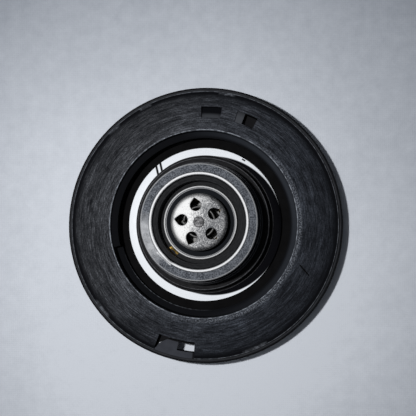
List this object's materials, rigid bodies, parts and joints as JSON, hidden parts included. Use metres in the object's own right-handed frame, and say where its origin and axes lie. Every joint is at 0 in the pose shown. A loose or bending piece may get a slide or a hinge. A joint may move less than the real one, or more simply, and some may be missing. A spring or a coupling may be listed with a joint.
{
  "type": "expansion tank cap",
  "caption": "Screw cap for a coolant expansion tank, with a coarse inner thread, a steel washer, and a swivelling valve insert that holds a pressure valve and a vacuum valve",
  "frame": {"origin": "on the cap's axis, in the plane of the grip's flat face that the cap lies on", "axes": "+Z is the cap's axis and points out of its inner side, towards the tank; +X and +Y are the picture's right and up"},
  "size_m": [0.084, 0.084, 0.0212],
  "materials": {
    "cover_plastic": "black moulded plastic, worn along its rim",
    "ring_plastic": "black moulded plastic with fine turned and scuffed marks",
    "body_plastic": "black moulded plastic",
    "gasket_rubber": "dull black rubber",
    "seal_rubber": "smooth black rubber",
    "washer_steel": "bright flat steel",
    "galvanised_steel": "galvanised sheet with a fine grey speckle",
    "spring_steel": "bright drawn steel",
    "plate_brass": "plain pressed brass"
  },
  "bodies": {
    "cap": {"cover_grip": "cover_plastic", "thread_ring": "ring_plastic", "neck_gasket": "gasket_rubber"},
    "insert": {"thrust_washer": "washer_steel", "side_seal": "seal_rubber", "valve_body": "body_plastic", "o_ring": "seal_rubber", "face_plate": "galvanised_steel", "spring_seat": "plate_brass", "pressure_spring": "spring_steel"},
    "pressure_valve": {"pressure_plate": "plate_brass", "pressure_seal": "seal_rubber", "vacuum_cage": "galvanised_steel", "vacuum_spring": "spring_steel"},
    "vacuum_valve": {"vacuum_disc": "spring_steel", "stem_rivet": "spring_steel", "vacuum_seal": "seal_rubber"}
  },
  "joints": [
    {"name": "insert_swivel", "type": "hinge", "parent": "cap", "child": "insert", "pos_m": [0, 0, 0.0044], "axis": [0, 0, 1], "continuous": true},
    {"name": "pressure_slide", "type": "slide", "parent": "insert", "child": "pressure_valve", "axis": [0, 0, -1], "range_m": [0, 0.0025], "stiffness_N_per_m": 4000, "springref_m": -0.006, "deforming": ["pressure_spring"]},
    {"name": "vacuum_slide", "type": "slide", "parent": "pressure_valve", "child": "vacuum_valve", "axis": [0, 0, 1], "range_m": [0, 0.0012], "stiffness_N_per_m": 120, "springref_m": -0.003, "deforming": ["vacuum_spring"]}
  ]
}
